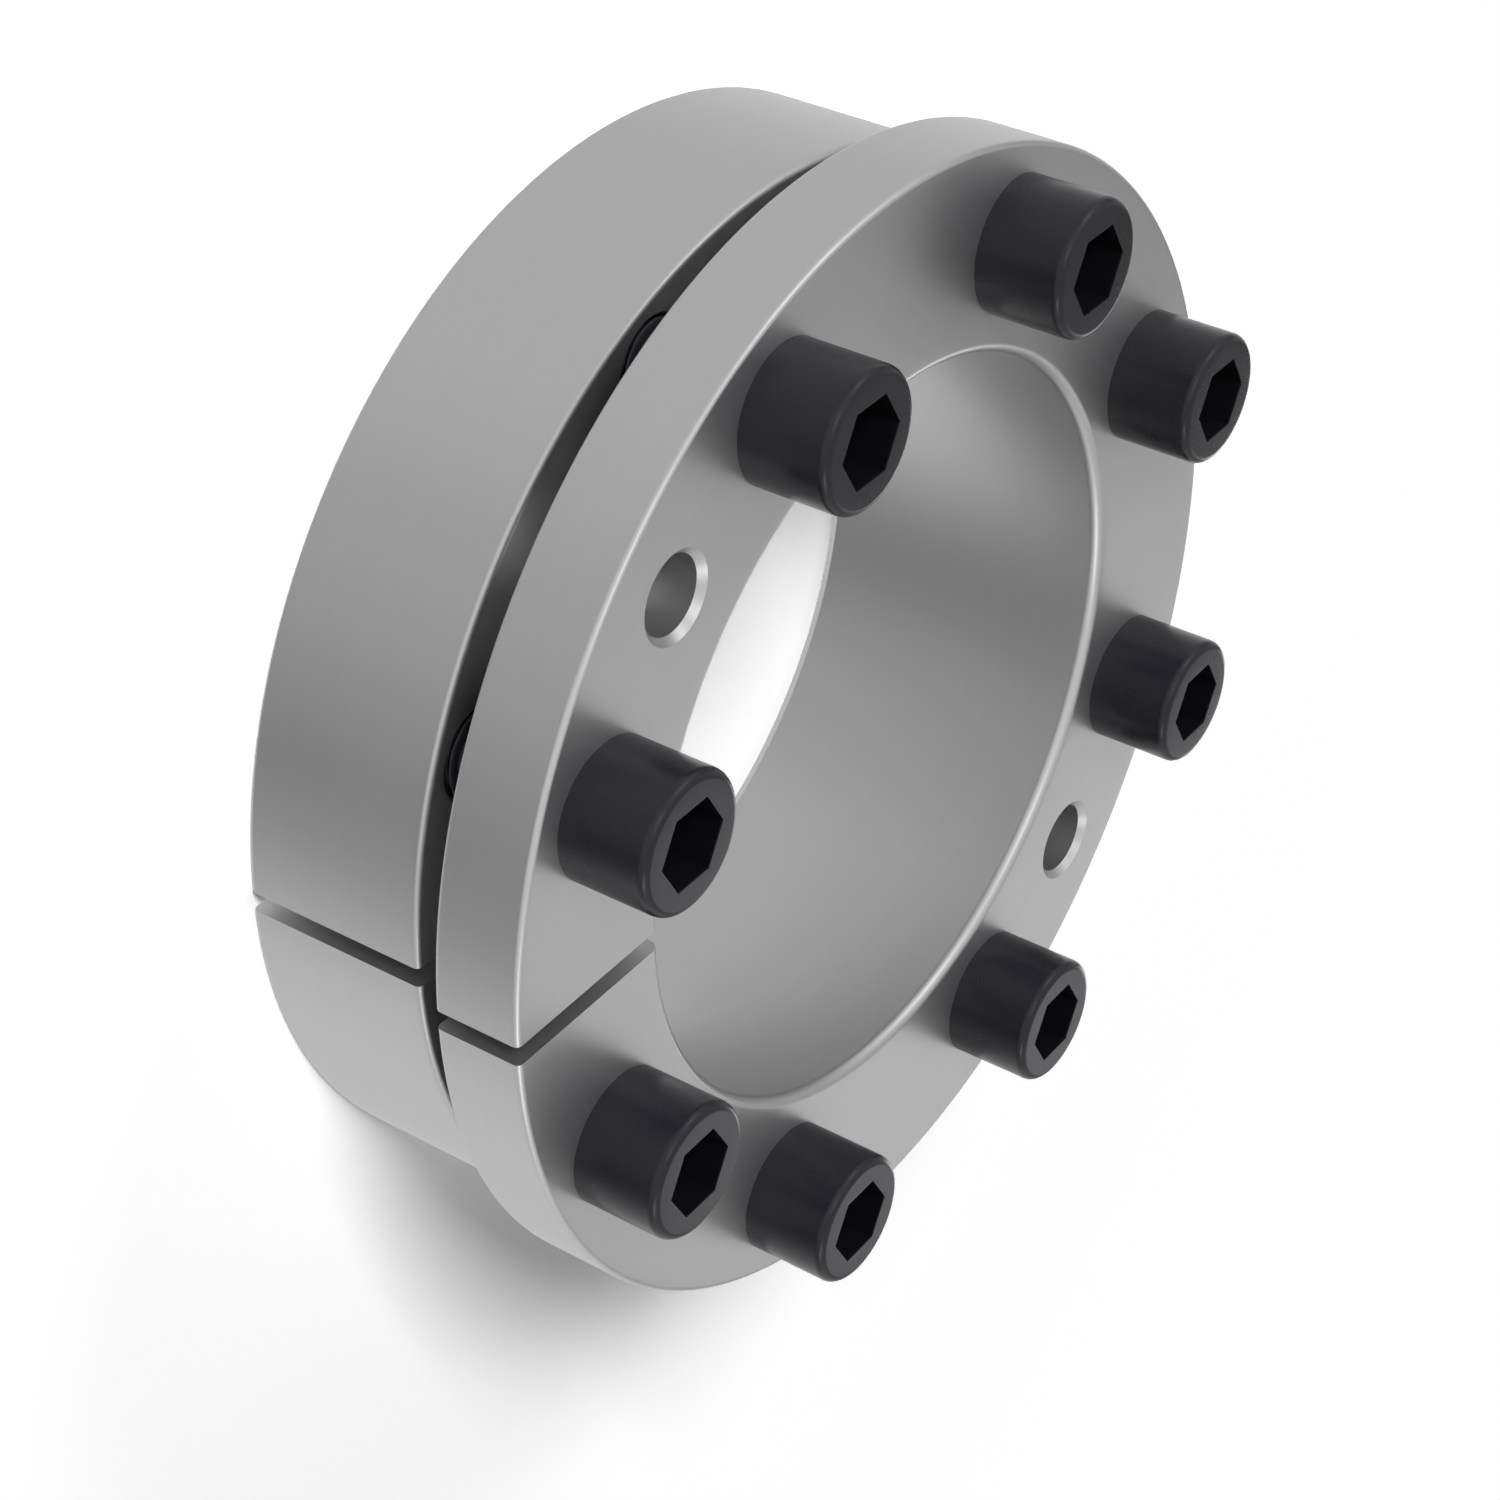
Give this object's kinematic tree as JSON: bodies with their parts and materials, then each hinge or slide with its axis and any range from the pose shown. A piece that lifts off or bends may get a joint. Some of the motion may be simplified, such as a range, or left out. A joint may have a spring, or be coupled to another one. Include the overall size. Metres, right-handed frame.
{
  "type": "keyless locking assembly",
  "caption": "Keyless shaft-hub locking assembly: slit tapered inner ring with a flange, slit outer ring, and a circle of socket cap screws that draw the tapers together.",
  "frame": {"origin": "on the axis, at the rear end faces of both rings", "axes": "+Z along the axis from the rear towards the screw heads; the slits of both rings point towards -Y"},
  "size_m": [0.1536, 0.1536, 0.0562],
  "materials": {
    "turned_steel": "satin",
    "black_oxide": "satin"
  },
  "bodies": {
    "inner_ring": {"inner_ring": "turned_steel"},
    "outer_ring": {"outer_ring": "turned_steel"},
    "screw_1": {"screw_1": "black_oxide"},
    "screw_2": {"screw_2": "black_oxide"},
    "screw_3": {"screw_3": "black_oxide"},
    "screw_4": {"screw_4": "black_oxide"},
    "screw_5": {"screw_5": "black_oxide"},
    "screw_6": {"screw_6": "black_oxide"},
    "screw_7": {"screw_7": "black_oxide"},
    "screw_8": {"screw_8": "black_oxide"}
  },
  "joints": [
    {"name": "screw_1_turn", "type": "hinge", "parent": "inner_ring", "child": "screw_1", "pos_m": [-0.02449, -0.05913, 0.0442], "axis": [0, 0, -1], "range_deg": [0, 360]},
    {"name": "screw_2_turn", "type": "hinge", "parent": "inner_ring", "child": "screw_2", "pos_m": [-0.05913, -0.02449, 0.0442], "axis": [0, 0, -1], "range_deg": [0, 360]},
    {"name": "screw_3_turn", "type": "hinge", "parent": "inner_ring", "child": "screw_3", "pos_m": [-0.05913, 0.02449, 0.0442], "axis": [0, 0, -1], "range_deg": [0, 360]},
    {"name": "screw_4_turn", "type": "hinge", "parent": "inner_ring", "child": "screw_4", "pos_m": [-0.02449, 0.05913, 0.0442], "axis": [0, 0, -1], "range_deg": [0, 360]},
    {"name": "screw_5_turn", "type": "hinge", "parent": "inner_ring", "child": "screw_5", "pos_m": [0.02449, 0.05913, 0.0442], "axis": [0, 0, -1], "range_deg": [0, 360]},
    {"name": "screw_6_turn", "type": "hinge", "parent": "inner_ring", "child": "screw_6", "pos_m": [0.05913, 0.02449, 0.0442], "axis": [0, 0, -1], "range_deg": [0, 360]},
    {"name": "screw_7_turn", "type": "hinge", "parent": "inner_ring", "child": "screw_7", "pos_m": [0.05913, -0.02449, 0.0442], "axis": [0, 0, -1], "range_deg": [0, 360]},
    {"name": "screw_8_turn", "type": "hinge", "parent": "inner_ring", "child": "screw_8", "pos_m": [0.02449, -0.05913, 0.0442], "axis": [0, 0, -1], "range_deg": [0, 360]},
    {"name": "outer_ring_draw", "type": "slide", "parent": "inner_ring", "child": "outer_ring", "axis": [0, 0, 1], "range_m": [0, 0.00175]}
  ],
  "couplings": [
    {"joint": "screw_1_turn", "follows": "outer_ring_draw", "rad_per_m": 3590.4},
    {"joint": "screw_2_turn", "follows": "outer_ring_draw", "rad_per_m": 3590.4},
    {"joint": "screw_3_turn", "follows": "outer_ring_draw", "rad_per_m": 3590.4},
    {"joint": "screw_4_turn", "follows": "outer_ring_draw", "rad_per_m": 3590.4},
    {"joint": "screw_5_turn", "follows": "outer_ring_draw", "rad_per_m": 3590.4},
    {"joint": "screw_6_turn", "follows": "outer_ring_draw", "rad_per_m": 3590.4},
    {"joint": "screw_7_turn", "follows": "outer_ring_draw", "rad_per_m": 3590.4},
    {"joint": "screw_8_turn", "follows": "outer_ring_draw", "rad_per_m": 3590.4}
  ]
}
